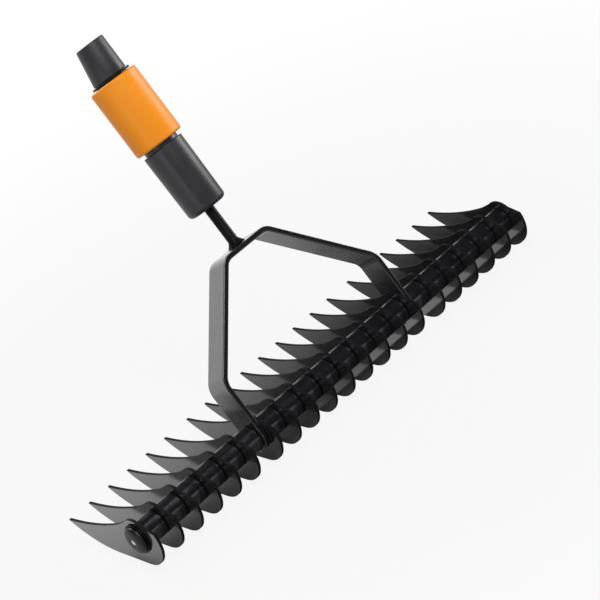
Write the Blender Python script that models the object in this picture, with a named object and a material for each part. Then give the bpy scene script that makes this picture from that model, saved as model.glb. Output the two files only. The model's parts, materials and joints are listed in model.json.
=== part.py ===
"""Aerator rake head: a gang of claw blades on an axle, swinging in a forked strip under a plug-in socket.

The head stands on the straight bellies of its blades, with the axle along X, the claws pointing to +Y
and the handle socket leaning over them. Metres, +Z up, origin under the middle of the whole head.
"""
import math

import bmesh
import bpy
from mathutils import Matrix, Vector

MM = 0.001

# Clearances
SEAT_GAP = 0.3 * MM            # between pieces that touch
BUSH_END_GAP = 0.15 * MM       # at each end of a pivot bush, so that the bush takes the clamping

# Blades and the spacers between them
INNER_BLADES = 9               # between the two tabs of the fork
OUTER_BLADES = 6               # beyond each tab
BLADE_T = 2.0 * MM
SPACER_L = 14.4 * MM
SPACER_R = 9.0 * MM
HUB_R = 20.2 * MM              # round back of the blade, and the axle's height over the ground
BELLY_FLAT_L = 30.0 * MM       # straight stretch that the blade stands on
BELLY_SAG = 3.3 * MM           # bulge of the belly between the flat and the tip
CLAW_REACH = 73.2 * MM         # tip ahead of the axle
CLAW_DROP = 6.7 * MM           # tip below the axle
TOP_SAG = 2.2 * MM             # hollow of the claw's top edge
NECK_REACH = 16.6 * MM         # where the top edge meets the hub, ahead of the axle
NECK_RISE = 6.1 * MM           # and above it
SHOULDER_R = 13.5 * MM         # top of the hub
SHOULDER_FROM = math.radians(48)
SHOULDER_TO = math.radians(128)
HEEL_ANGLE = math.radians(157)  # where the round back ends

# Axle and what closes it
AXLE_R = 5.0 * MM
AXLE_CHAMFER = 0.5 * MM
WASHER_T = 0.8 * MM
WASHER_R = 10.4 * MM
CAP_R = 9.2 * MM
CAP_RIM = 0.8 * MM             # straight rim of the domed cap
CAP_DOME = 2.6 * MM            # height of the dome over the rim
CAP_BORE_DEPTH = 1.9 * MM

# Fork strip and its swing
STRIP_T = 3.5 * MM
STRIP_W = 22.6 * MM
CROWN_H = 97.0 * MM            # axle to the middle of the strip at the crown
CROWN_HALF = 18.0 * MM         # middle to the crown's bend
SHOULDER_H = 38.3 * MM         # axle to the bend above the tab
CROWN_BEND_R = 9.0 * MM
SHOULDER_BEND_R = 12.0 * MM
HANDLE_LEAN = math.radians(27)
SWING = math.radians(45)       # travel of the handle away from the claws
BUSH_WALL = 1.2 * MM
NOTCH_WALL = 1.8 * MM          # metal left between the tab's bore and its stop notch
STOP_PIN_R = 1.4 * MM

# Socket, on the handle's axis; heights are above the axle
TANG_R = 3.5 * MM
WELD_R = 6.5 * MM
WELD_H = 4.0 * MM
WELD_EDGE_H = 0.7 * MM         # height of the weld bead's outer edge
WELD_WAIST_R = 4.5 * MM        # bead's radius half way up
BODY_BASE = 128.2 * MM
BODY_L = 47.9 * MM
BODY_BASE_R = 13.8 * MM
BODY_TOP_R = 14.3 * MM
BODY_FILLET = 3.4 * MM
SHANK_R = 9.0 * MM             # spigot's shank inside the body
SHANK_L = 20.0 * MM
SLEEVE_L = 49.0 * MM
SLEEVE_R = 17.0 * MM
SLEEVE_FILLET = 1.6 * MM
SLEEVE_WALL = 1.9 * MM
SLEEVE_COLLAR_L = 12.0 * MM    # narrow bore at the sleeve's far end
SLEEVE_TRAVEL = 2.5 * MM       # the dark line between body and sleeve is a little wider
CORE_R = 12.2 * MM
FLANGE_UP = 1.4 * MM           # flange above the sleeve's lower rim
FLANGE_T = 2.0 * MM
RING_T = 1.4 * MM
RING_R = 13.9 * MM
RING_SEAT = 1.2 * MM           # depth of the groove that holds the ring
SPIGOT_L = 24.4 * MM           # spigot beyond the ring
SPIGOT_TIP_R = 10.1 * MM
SPIGOT_SHIFT = (1.85 * MM, -1.0 * MM)   # tip off the axis: one side is straight, the other tapers
SPIGOT_CHAMFER = 0.8 * MM
SPRING_WIRE_R = 0.6 * MM
SPRING_TURNS = 6
PAWL_W = 6.0 * MM
PAWL_H = 8.0 * MM
PAWL_UP = 9.0 * MM             # pawl above the ring
PAWL_PROUD = 1.3 * MM          # pawl beyond the spigot
PAWL_DEPTH = 7.0 * MM
PAWL_TRAVEL = 1.4 * MM
PAWL_RAMP = 2.4 * MM

# Roundness of the turned pieces
SEGMENTS_FINE = 32
SEGMENTS = 24
SEGMENTS_SPACER = 18
SEGMENTS_BORE = 12
BEND_STEPS = 4
ARC_STEPS = 5
HUB_STEPS = 12
FILLET_STEPS = 3
SHARP_ANGLE = math.radians(35)

# How far a cutter runs past the face that it cuts
CUT_OVERRUN = 10.0 * MM

# Sizes that follow
BORE_R = AXLE_R + SEAT_GAP
BLADE_PITCH = BLADE_T + SPACER_L + 2 * SEAT_GAP
TAB_STEP = STRIP_T + SEAT_GAP
INNER_HALF = (INNER_BLADES - 1) / 2 * BLADE_PITCH
TAB_X = INNER_HALF + BLADE_T / 2 + SEAT_GAP + STRIP_T / 2
GANG_HALF = INNER_HALF + TAB_STEP + OUTER_BLADES * BLADE_PITCH + BLADE_T / 2
WASHER_X = GANG_HALF + SEAT_GAP + WASHER_T / 2
CAP_X = WASHER_X + WASHER_T / 2 + SEAT_GAP
AXLE_HALF = CAP_X + CAP_BORE_DEPTH - SEAT_GAP
BUSH_R = BORE_R + BUSH_WALL
TAB_BORE_R = BUSH_R + SEAT_GAP
NOTCH_FLOOR_R = TAB_BORE_R + NOTCH_WALL
STOP_ORBIT = NOTCH_FLOOR_R + SEAT_GAP + STOP_PIN_R
STOP_ANGLE = -math.pi / 2 + SWING / 2 - HANDLE_LEAN
NOTCH_HALF = SWING / 2 + math.asin((STOP_PIN_R + SEAT_GAP) / STOP_ORBIT)

BODY_TOP = BODY_BASE + BODY_L
SHANK_BASE = BODY_TOP - SHANK_L
SLEEVE_BASE = BODY_TOP + SLEEVE_TRAVEL + SEAT_GAP
SLEEVE_TOP = SLEEVE_BASE + SLEEVE_L
SLEEVE_BORE_R = SLEEVE_R - SLEEVE_WALL
SLEEVE_STEP = SLEEVE_TOP - SLEEVE_COLLAR_L
COLLAR_BORE_R = CORE_R + SEAT_GAP
FLANGE_BASE = SLEEVE_BASE + FLANGE_UP
FLANGE_TOP = FLANGE_BASE + FLANGE_T
FLANGE_R = SLEEVE_BORE_R - SEAT_GAP
GROOVE_BASE = SLEEVE_TOP + SEAT_GAP
GROOVE_TOP = GROOVE_BASE + RING_T + 2 * SEAT_GAP
GROOVE_R = CORE_R - RING_SEAT
SPIGOT_TOP = GROOVE_TOP + SPIGOT_L
SPRING_R = (CORE_R + SLEEVE_BORE_R) / 2
PAWL_BASE = GROOVE_TOP + PAWL_UP

# The origin is under the middle of the head's length, from the round backs to the spigot's tip
TIP_FRONT = SPIGOT_TIP_R - SPIGOT_CHAMFER + SPIGOT_SHIFT[1]
FRONT_Y = SPIGOT_TOP * math.sin(HANDLE_LEAN) + TIP_FRONT * math.cos(HANDLE_LEAN)
AXLE_Y = (HUB_R - FRONT_Y) / 2
AXLE_Z = HUB_R


def clear_scene():
    for item in list(bpy.data.objects):
        bpy.data.objects.remove(item, do_unlink=True)


def make_material(name, colour, roughness, metallic):
    material = bpy.data.materials.new(name)
    material.use_nodes = True
    shader = material.node_tree.nodes["Principled BSDF"]
    shader.inputs["Base Color"].default_value = (*colour, 1.0)
    shader.inputs["Roughness"].default_value = roughness
    shader.inputs["Metallic"].default_value = metallic
    material.diffuse_color = (*colour, 1.0)
    return material


def make_empty(name, location, lean=0.0):
    empty = bpy.data.objects.new(name, None)
    empty.location = location
    empty.rotation_euler = (lean, 0.0, 0.0)
    bpy.context.collection.objects.link(empty)
    return empty


def finish_mesh(name, bm):
    bmesh.ops.recalc_face_normals(bm, faces=bm.faces)
    mesh = bpy.data.meshes.new(name)
    bm.to_mesh(mesh)
    bm.free()
    mesh.shade_smooth()
    mesh.set_sharp_from_angle(angle=SHARP_ANGLE)
    return mesh


def place(name, data, material, parent, location=(0.0, 0.0, 0.0), turn=0.0):
    piece = bpy.data.objects.new(name, data)
    piece.parent = parent
    piece.location = location
    piece.rotation_euler = (0.0, 0.0, turn)
    if material is not None and not data.materials:
        data.materials.append(material)
    bpy.context.collection.objects.link(piece)
    return piece


def cut(piece, name, mesh, location=(0.0, 0.0, 0.0)):
    """Cuts a mesh out of a piece with a Boolean, and keeps the cutter as a wire object."""
    cutter = place(name, mesh, None, piece.parent, location)
    cutter.hide_render = True
    cutter.display_type = "WIRE"
    modifier = piece.modifiers.new(name, "BOOLEAN")
    modifier.operation = "DIFFERENCE"
    modifier.object = cutter


def arc(radius, start, end, steps):
    """Points on a circle round the origin, both ends included."""
    angles = [start + (end - start) * step / steps for step in range(steps + 1)]
    return [(radius * math.cos(angle), radius * math.sin(angle)) for angle in angles]


def bulge(start, end, sag, steps):
    """Points between two ends, start included and end left out, bulging to the right of the way."""
    start = Vector(start)
    way = Vector(end) - start
    side = Vector((way.y, -way.x)).normalized()
    points = []
    for step in range(steps):
        share = step / steps
        points.append(tuple(start + way * share + side * sag * 4 * share * (1 - share)))
    return points


def lathe(name, profile, segments, along_x=False):
    """Turns (radius, height) points about Z; a profile that starts and ends at radius 0 is solid."""
    bm = bmesh.new()
    solid = profile[0][0] == 0.0
    rings = []
    for radius, height in profile:
        if radius == 0.0:
            rings.append([bm.verts.new((0.0, 0.0, height))])
            continue
        ring = []
        for step in range(segments):
            angle = 2 * math.pi * step / segments
            ring.append(bm.verts.new((radius * math.cos(angle), radius * math.sin(angle), height)))
        rings.append(ring)
    last = len(rings) - 1 if solid else len(rings)
    for index in range(last):
        low = rings[index]
        high = rings[(index + 1) % len(rings)]
        for step in range(segments):
            after = (step + 1) % segments
            corners = [low[step % len(low)], low[after % len(low)],
                       high[after % len(high)], high[step % len(high)]]
            bm.faces.new(list(dict.fromkeys(corners)))
    if along_x:
        bmesh.ops.transform(bm, matrix=Matrix.Rotation(math.pi / 2, 4, "Y"), verts=bm.verts)
    return finish_mesh(name, bm)


def tube(name, outer, inner, length, segments, along_x=False):
    """A plain tube or washer, centred on its own middle."""
    half = length / 2
    profile = [(outer, -half), (outer, half), (inner, half), (inner, -half)]
    return lathe(name, profile, segments, along_x)


def rod(name, radius, length, segments, along_x=False):
    half = length / 2
    profile = [(0.0, -half), (radius, -half), (radius, half), (0.0, half)]
    return lathe(name, profile, segments, along_x)


def plate(name, outline, thickness, holes=()):
    """A flat plate in the YZ plane, its thickness along X; holes are outlines too."""
    bm = bmesh.new()
    edges = []
    for loop in (outline, *holes):
        verts = [bm.verts.new((-thickness / 2, y, z)) for y, z in loop]
        for index, vert in enumerate(verts):
            edges.append(bm.edges.new((vert, verts[(index + 1) % len(verts)])))
    bmesh.ops.triangle_fill(bm, edges=edges, use_beauty=True)
    region = bmesh.ops.extrude_face_region(bm, geom=list(bm.faces))
    moved = [item for item in region["geom"] if isinstance(item, bmesh.types.BMVert)]
    bmesh.ops.translate(bm, verts=moved, vec=(thickness, 0.0, 0.0))
    return finish_mesh(name, bm)


def circle(centre, radius, segments):
    points = arc(radius, 0.0, 2 * math.pi, segments)[:-1]
    return [(centre[0] + y, centre[1] + z) for y, z in points]


def blade_outline():
    """Claw outline round the axle: belly, flat, round back, shoulder and hollow top edge."""
    tip = (CLAW_REACH, -CLAW_DROP)
    flat_end = (BELLY_FLAT_L, -HUB_R)
    neck = (NECK_REACH, NECK_RISE)
    points = bulge(tip, flat_end, -BELLY_SAG, ARC_STEPS)
    points.append(flat_end)
    points += arc(HUB_R, -math.pi / 2, HEEL_ANGLE - 2 * math.pi, HUB_STEPS)
    points += arc(SHOULDER_R, SHOULDER_TO, SHOULDER_FROM, ARC_STEPS)
    points += bulge(neck, tip, TOP_SAG, ARC_STEPS)
    return points


def blade_places():
    """Middles of the blades from -X to +X; the tabs of the fork take room beyond the inner blades."""
    inner = [(index - (INNER_BLADES - 1) / 2) * BLADE_PITCH for index in range(INNER_BLADES)]
    outer = [INNER_HALF + TAB_STEP + (index + 1) * BLADE_PITCH for index in range(OUTER_BLADES)]
    return [-x for x in reversed(outer)] + inner + outer


def spacer_places():
    """Middles of the spacers; each one stands against the blade on its outer side."""
    blades = blade_places()
    pairs = zip(blades, blades[1:])
    return [left + BLADE_PITCH / 2 if left < -SEAT_GAP else right - BLADE_PITCH / 2 for left, right in pairs]


def stop_place():
    return (STOP_ORBIT * math.cos(STOP_ANGLE), STOP_ORBIT * math.sin(STOP_ANGLE))


def build_blades(axis, steel):
    outline = blade_outline()
    bore = circle((0.0, 0.0), BORE_R, SEGMENTS_BORE)
    pin_hole = circle(stop_place(), STOP_PIN_R + SEAT_GAP, SEGMENTS_BORE)
    plain = plate("blade_plate", outline, BLADE_T, [bore])
    drilled = plate("blade_plate_drilled", outline, BLADE_T, [bore, pin_hole])
    for index, x in enumerate(blade_places()):
        beside_tab = index in (OUTER_BLADES, OUTER_BLADES + INNER_BLADES - 1)
        mesh = drilled if beside_tab else plain
        place(f"blade_{index + 1:02d}", mesh, steel, axis, (x, 0.0, 0.0))


def build_spacers(axis, steel):
    mesh = tube("spacer_tube", SPACER_R, BORE_R, SPACER_L, SEGMENTS_SPACER, along_x=True)
    for index, x in enumerate(spacer_places()):
        place(f"spacer_{index + 1:02d}", mesh, steel, axis, (x, 0.0, 0.0))


def build_axle(axis, steel):
    profile = [(0.0, -AXLE_HALF), (AXLE_R - AXLE_CHAMFER, -AXLE_HALF), (AXLE_R, AXLE_CHAMFER - AXLE_HALF),
               (AXLE_R, AXLE_HALF - AXLE_CHAMFER), (AXLE_R - AXLE_CHAMFER, AXLE_HALF), (0.0, AXLE_HALF)]
    place("axle_rod", lathe("axle_rod", profile, SEGMENTS, along_x=True), steel, axis)


def cap_mesh():
    """A domed cap with a blind bore, its seat at x = 0 and its dome towards +X."""
    ball_r = (CAP_R ** 2 + CAP_DOME ** 2) / (2 * CAP_DOME)
    half_angle = math.asin(CAP_R / ball_r)
    profile = [(0.0, CAP_BORE_DEPTH), (BORE_R, CAP_BORE_DEPTH), (BORE_R, 0.0), (CAP_R, 0.0)]
    for step in range(ARC_STEPS + 1):
        angle = half_angle * (1 - step / ARC_STEPS)
        height = CAP_RIM + CAP_DOME - ball_r * (1 - math.cos(angle))
        profile.append((ball_r * math.sin(angle) if step < ARC_STEPS else 0.0, height))
    return lathe("end_cap", profile, SEGMENTS, along_x=True)


def build_axle_hardware(axis, steel, cap_steel):
    washer = tube("washer", WASHER_R, BORE_R, WASHER_T, SEGMENTS, along_x=True)
    bush = tube("pivot_bush", BUSH_R, BORE_R, TAB_STEP + SEAT_GAP - 2 * BUSH_END_GAP, SEGMENTS, along_x=True)
    pin = rod("stop_pin", STOP_PIN_R, BLADE_T + SEAT_GAP + STRIP_T, SEGMENTS_BORE, along_x=True)
    cap = cap_mesh()
    pin_x = TAB_X + STRIP_T / 2 - (BLADE_T + SEAT_GAP + STRIP_T) / 2
    for side, word in ((-1, "left"), (1, "right")):
        turn = 0.0 if side > 0 else math.pi
        place(f"washer_{word}", washer, steel, axis, (side * WASHER_X, 0.0, 0.0))
        place(f"end_cap_{word}", cap, cap_steel, axis, (side * CAP_X, 0.0, 0.0), turn)
        place(f"pivot_bush_{word}", bush, steel, axis, (side * TAB_X, 0.0, 0.0))
        place(f"stop_pin_{word}", pin, steel, axis, (side * pin_x, *stop_place()))


def bend(before, corner, after, radius):
    """Points of a rounded corner between two straight runs, as (x, z)."""
    corner = Vector(corner)
    run_in = (corner - Vector(before)).normalized()
    run_out = (Vector(after) - corner).normalized()
    turn = run_in.angle(run_out)
    back = radius * math.tan(turn / 2)
    start = corner - run_in * back
    inward = (run_out - run_in).normalized()
    middle = corner + inward * radius / math.cos(turn / 2)
    first = math.atan2(start.y - middle.y, start.x - middle.x)
    sweep = turn if run_in.cross(run_out) > 0 else -turn
    points = []
    for step in range(BEND_STEPS + 1):
        angle = first + sweep * step / BEND_STEPS
        points.append((middle.x + radius * math.cos(angle), middle.y + radius * math.sin(angle)))
    return points


def fork_path():
    """Middle line of the strip from the left axle hole over the crown to the right one, as (x, z)."""
    corners = [(-TAB_X, 0.0), (-TAB_X, SHOULDER_H), (-CROWN_HALF, CROWN_H),
               (CROWN_HALF, CROWN_H), (TAB_X, SHOULDER_H), (TAB_X, 0.0)]
    radii = [SHOULDER_BEND_R, CROWN_BEND_R, CROWN_BEND_R, SHOULDER_BEND_R]
    points = [corners[0]]
    for index, radius in enumerate(radii):
        points += bend(corners[index], corners[index + 1], corners[index + 2], radius)
    points.append(corners[-1])
    return points


def fork_mesh():
    """The bent strip, a rectangle swept along its path; each end is half round, with a notch for the stop."""
    path = [Vector(point) for point in fork_path()]
    bm = bmesh.new()
    rings = []
    for index, point in enumerate(path):
        ahead = path[min(index + 1, len(path) - 1)] - path[max(index - 1, 0)]
        if index == 0 or index == len(path) - 1:
            ahead = Vector((0.0, 1.0 if index == 0 else -1.0))
        normal = Vector((-ahead.y, ahead.x)).normalized() * STRIP_T / 2
        outer = point + normal
        inner = point - normal
        corners = [(outer, STRIP_W / 2), (outer, -STRIP_W / 2), (inner, -STRIP_W / 2), (inner, STRIP_W / 2)]
        rings.append([bm.verts.new((edge.x, y, edge.y)) for edge, y in corners])
    for low, high in zip(rings, rings[1:]):
        for side in range(len(low)):
            after = (side + 1) % len(low)
            bm.faces.new((low[side], low[after], high[after], high[side]))
    notch_from = NOTCH_HALF - math.pi / 2
    notch_to = -NOTCH_HALF - math.pi / 2
    end_points = arc(STRIP_W / 2, 0.0, notch_from, BEND_STEPS)[1:]
    end_points += arc(NOTCH_FLOOR_R, notch_from, notch_to, ARC_STEPS)
    end_points += arc(STRIP_W / 2, notch_to, -math.pi, BEND_STEPS)[:-1]
    for ring in (rings[0], rings[-1]):
        outer_arc = [bm.verts.new((ring[0].co.x, y, z)) for y, z in end_points]
        inner_arc = [bm.verts.new((ring[2].co.x, y, z)) for y, z in end_points]
        bm.faces.new([ring[0], *outer_arc, ring[1]])
        bm.faces.new([ring[3], *inner_arc, ring[2]])
        outer_line = [ring[0], *outer_arc, ring[1]]
        inner_line = [ring[3], *inner_arc, ring[2]]
        for step in range(len(outer_line) - 1):
            bm.faces.new((outer_line[step], outer_line[step + 1], inner_line[step + 1], inner_line[step]))
    return finish_mesh("fork_strip", bm)


def build_fork(handle, steel):
    fork = place("fork_strip", fork_mesh(), steel, handle)
    across = 2 * (TAB_X + STRIP_T / 2 + CUT_OVERRUN)
    through = STRIP_T + 2 * CUT_OVERRUN
    cut(fork, "tab_bore_cutter", rod("tab_bore_cutter", TAB_BORE_R, across, SEGMENTS, along_x=True))
    cut(fork, "crown_hole_cutter", rod("crown_hole_cutter", TANG_R + SEAT_GAP, through, SEGMENTS),
        (0.0, 0.0, CROWN_H))


def build_tang(handle, steel):
    """Round rod through the crown, with its weld bead on top, up to the spigot's shank in the body."""
    weld_base = CROWN_H + STRIP_T / 2 + SEAT_GAP
    top = SHANK_BASE - SEAT_GAP
    profile = [(0.0, CROWN_H - STRIP_T / 2), (TANG_R, CROWN_H - STRIP_T / 2), (TANG_R, weld_base),
               (WELD_R, weld_base), (WELD_R, weld_base + WELD_EDGE_H), (WELD_WAIST_R, weld_base + WELD_H / 2),
               (TANG_R, weld_base + WELD_H), (TANG_R, top), (0.0, top)]
    place("tang_rod", lathe("tang_rod", profile, SEGMENTS), steel, handle)


def fillet(radius, height, size, inward, upward):
    """A rounded outer corner of a turned profile, from the flat to the wall or back."""
    points = []
    for step in range(FILLET_STEPS + 1):
        angle = math.pi / 2 * step / FILLET_STEPS
        if not upward:
            angle = math.pi / 2 - angle
        out = radius - size + size * math.sin(angle)
        points.append((out, height + inward * size * (1 - math.cos(angle))))
    return points


def build_socket(handle, plastic):
    tang_bore = TANG_R + SEAT_GAP
    shank_bore = SHANK_R + SEAT_GAP
    profile = [(tang_bore, BODY_BASE)]
    profile += fillet(BODY_BASE_R, BODY_BASE, BODY_FILLET, 1, True)
    profile += [(BODY_TOP_R, BODY_TOP), (shank_bore, BODY_TOP), (shank_bore, SHANK_BASE - SEAT_GAP),
                (tang_bore, SHANK_BASE - SEAT_GAP)]
    place("socket_body", lathe("socket_body", profile, SEGMENTS_FINE), plastic, handle)


def build_spigot(handle, plastic):
    """One moulding: shank, core under the sleeve with its spring flange, ring groove and spigot."""
    core_base = BODY_TOP + SEAT_GAP
    profile = [(0.0, SHANK_BASE), (SHANK_R, SHANK_BASE), (SHANK_R, core_base), (CORE_R, core_base),
               (CORE_R, FLANGE_BASE), (FLANGE_R, FLANGE_BASE), (FLANGE_R, FLANGE_TOP), (CORE_R, FLANGE_TOP),
               (CORE_R, GROOVE_BASE), (GROOVE_R, GROOVE_BASE), (GROOVE_R, GROOVE_TOP), (CORE_R, GROOVE_TOP),
               (SPIGOT_TIP_R, SPIGOT_TOP - SPIGOT_CHAMFER), (SPIGOT_TIP_R - SPIGOT_CHAMFER, SPIGOT_TOP),
               (0.0, SPIGOT_TOP)]
    mesh = lathe("spigot_core", profile, SEGMENTS_FINE)
    for vert in mesh.vertices:
        share = max(0.0, vert.co.z - GROOVE_TOP) / SPIGOT_L
        vert.co.x += SPIGOT_SHIFT[0] * share
        vert.co.y += SPIGOT_SHIFT[1] * share
    spigot = place("spigot_core", mesh, plastic, handle)
    low = PAWL_BASE - SEAT_GAP
    high = PAWL_BASE + PAWL_H + SEAT_GAP
    floor = pawl_front() - PAWL_DEPTH - PAWL_TRAVEL - SEAT_GAP
    mouth = CORE_R + CUT_OVERRUN
    window = [(floor, low), (mouth, low), (mouth, high), (floor, high)]
    cut(spigot, "pawl_window_cutter", plate("pawl_window_cutter", window, PAWL_W + 2 * SEAT_GAP))


def pawl_front():
    """Reach of the pawl from the handle's axis, on the side of the claws."""
    share = (PAWL_UP + PAWL_H / 2) / SPIGOT_L
    return CORE_R + (SPIGOT_TIP_R + SPIGOT_SHIFT[1] - CORE_R) * share + PAWL_PROUD


def build_pawl(handle, steel):
    front = pawl_front()
    back = front - PAWL_DEPTH
    outline = [(back, 0.0), (front, 0.0), (front, PAWL_H - PAWL_RAMP), (front - PAWL_RAMP, PAWL_H),
               (back, PAWL_H)]
    place("lock_pawl", plate("lock_pawl", outline, PAWL_W), steel, handle, (0.0, 0.0, PAWL_BASE))


def build_sleeve(handle, plastic):
    profile = [(SLEEVE_BORE_R, 0.0)]
    profile += fillet(SLEEVE_R, 0.0, SLEEVE_FILLET, 1, True)
    profile += fillet(SLEEVE_R, SLEEVE_L, SLEEVE_FILLET, -1, False)
    step = SLEEVE_STEP - SLEEVE_BASE
    profile += [(COLLAR_BORE_R, SLEEVE_L), (COLLAR_BORE_R, step), (SLEEVE_BORE_R, step)]
    mesh = lathe("release_sleeve", profile, SEGMENTS_FINE)
    place("release_sleeve", mesh, plastic, handle, (0.0, 0.0, SLEEVE_BASE))


def build_ring(handle, steel):
    mesh = tube("retaining_ring", RING_R, GROOVE_R + SEAT_GAP, RING_T, SEGMENTS_FINE)
    place("retaining_ring", mesh, steel, handle, (0.0, 0.0, GROOVE_BASE + SEAT_GAP + RING_T / 2))


def build_spring(handle, steel):
    """Return spring between the core's flange and the step in the sleeve's bore."""
    low = FLANGE_TOP + SEAT_GAP + SPRING_WIRE_R
    high = SLEEVE_STEP - SEAT_GAP - SPRING_WIRE_R
    curve = bpy.data.curves.new("sleeve_spring", "CURVE")
    curve.dimensions = "3D"
    curve.bevel_depth = SPRING_WIRE_R
    curve.bevel_resolution = 1
    curve.use_fill_caps = True
    count = SPRING_TURNS * SEGMENTS_BORE + 1
    spline = curve.splines.new("POLY")
    spline.points.add(count - 1)
    for index, point in enumerate(spline.points):
        angle = 2 * math.pi * index / SEGMENTS_BORE
        height = low + (high - low) * index / (count - 1)
        point.co = (SPRING_R * math.cos(angle), SPRING_R * math.sin(angle), height, 1.0)
    place("sleeve_spring", curve, steel, handle)


def main():
    clear_scene()
    blade_steel = make_material("powder_coated_steel", (0.020, 0.020, 0.022), 0.42, 0.0)
    spacer_steel = make_material("black_lacquered_tube", (0.012, 0.012, 0.014), 0.22, 0.0)
    strip_steel = make_material("black_lacquered_strip", (0.016, 0.016, 0.018), 0.34, 0.0)
    bright_steel = make_material("zinc_plated_steel", (0.45, 0.46, 0.47), 0.35, 1.0)
    dark_plastic = make_material("dark_grey_nylon", (0.045, 0.043, 0.047), 0.5, 0.0)
    orange_plastic = make_material("orange_nylon", (0.90, 0.30, 0.012), 0.4, 0.0)

    axis = make_empty("gang_axis", (0.0, AXLE_Y, AXLE_Z))
    handle = make_empty("handle_axis", (0.0, AXLE_Y, AXLE_Z), -HANDLE_LEAN)
    build_blades(axis, blade_steel)
    build_spacers(axis, spacer_steel)
    build_axle(axis, bright_steel)
    build_axle_hardware(axis, bright_steel, blade_steel)
    build_fork(handle, strip_steel)
    build_tang(handle, strip_steel)
    build_socket(handle, dark_plastic)
    build_spigot(handle, dark_plastic)
    build_ring(handle, bright_steel)
    build_sleeve(handle, orange_plastic)
    build_spring(handle, bright_steel)
    build_pawl(handle, bright_steel)


main()
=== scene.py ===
"""Looks of the aerator rake head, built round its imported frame.

Metres, +Z up, in the frame's own axes: +X along the axle, +Y the way the claws point. Each piece is a fine
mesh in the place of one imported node, with a procedural finish of its own.
"""

import json
import logging
import math
from dataclasses import dataclass, replace
from enum import Enum
from typing import Callable, Sequence

import bmesh
import bpy
from mathutils import Matrix, Vector


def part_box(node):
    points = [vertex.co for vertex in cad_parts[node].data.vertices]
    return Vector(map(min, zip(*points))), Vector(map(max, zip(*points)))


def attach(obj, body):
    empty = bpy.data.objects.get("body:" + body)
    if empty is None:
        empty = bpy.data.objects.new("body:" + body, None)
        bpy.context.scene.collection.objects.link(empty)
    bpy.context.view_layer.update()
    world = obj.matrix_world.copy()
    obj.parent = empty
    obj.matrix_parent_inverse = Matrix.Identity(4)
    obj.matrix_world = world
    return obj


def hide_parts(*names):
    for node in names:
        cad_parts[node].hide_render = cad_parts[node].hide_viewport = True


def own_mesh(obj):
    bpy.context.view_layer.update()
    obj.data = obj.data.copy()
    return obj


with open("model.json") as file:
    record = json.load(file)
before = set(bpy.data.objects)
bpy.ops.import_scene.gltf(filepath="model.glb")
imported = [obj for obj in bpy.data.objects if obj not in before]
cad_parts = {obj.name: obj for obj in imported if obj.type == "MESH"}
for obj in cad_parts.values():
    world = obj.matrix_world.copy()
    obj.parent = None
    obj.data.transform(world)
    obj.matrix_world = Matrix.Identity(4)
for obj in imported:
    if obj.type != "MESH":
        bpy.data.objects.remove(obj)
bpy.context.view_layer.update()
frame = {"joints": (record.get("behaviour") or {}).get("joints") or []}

LOG = logging.getLogger("aerator_rake_head")
MM = 0.001
PHOTO_WIDTH = 600
SENSOR_MM = 36.0
SHARP_ANGLE = math.radians(38)
EASE_STEPS, FINE_EASE_STEPS = 2, 3
UP = Vector((0.0, 0.0, 1.0))
# A face looks along an axis where its normal has more than this share of it.
FACING = 0.5

Pair = tuple[float, float]
Triple = tuple[float, float, float]
Mesh = bpy.types.Mesh
Node = bpy.types.Node
Tree = bpy.types.NodeTree


class Body(Enum):
    """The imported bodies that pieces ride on."""

    GANG = "gang"
    HANDLE = "handle"
    SLEEVE = "sleeve"
    PAWL = "pawl"


class Slot(Enum):
    """The record's material slots."""

    BLADE = "powder_coated_steel"
    TUBE = "black_lacquered_tube"
    STRIP = "black_lacquered_strip"
    ZINC = "zinc_plated_steel"
    GREY = "dark_grey_nylon"
    ORANGE = "orange_nylon"


def linear(colour: str) -> tuple[float, float, float, float]:
    """Turns an sRGB hex colour to linear red, green, blue and alpha.

    Args:
        colour: Six hex digits after a hash sign.

    Returns:
        The linear colour, with alpha 1.
    """
    channels = [int(colour[start:start + 2], 16) / 255 for start in (1, 3, 5)]
    red, green, blue = (c / 12.92 if c <= 0.04045 else ((c + 0.055) / 1.055) ** 2.4 for c in channels)
    return red, green, blue, 1.0


def add_node(tree: Tree, kind: str, settings: dict | None = None, links: dict | None = None) -> Node:
    """Adds one node with its settings and links.

    Args:
        tree: The node tree.
        kind: The node's type without "ShaderNode".
        settings: Values by the name of a property, or else of an input or its number.
        links: Output sockets by the name or number of the input that each one feeds.

    Returns:
        The new node.
    """
    node = tree.nodes.new("ShaderNode" + kind)
    for name, value in (settings or {}).items():
        if isinstance(name, str) and name in node.bl_rna.properties:
            setattr(node, name, value)
        else:
            node.inputs[name].default_value = value
    for name, socket in (links or {}).items():
        tree.links.new(socket, node.inputs[name])
    return node


@dataclass(frozen=True)
class Step:
    """A smooth step: the low level up to the start, and the high one from the end on."""

    start: float
    end: float
    low: float = 0.0
    high: float = 1.0

    @property
    def settings(self) -> dict:
        """The settings of the node that draws the step."""
        return {"interpolation_type": "SMOOTHSTEP", "From Min": self.start, "From Max": self.end,
                "To Min": self.low, "To Max": self.high}


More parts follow.
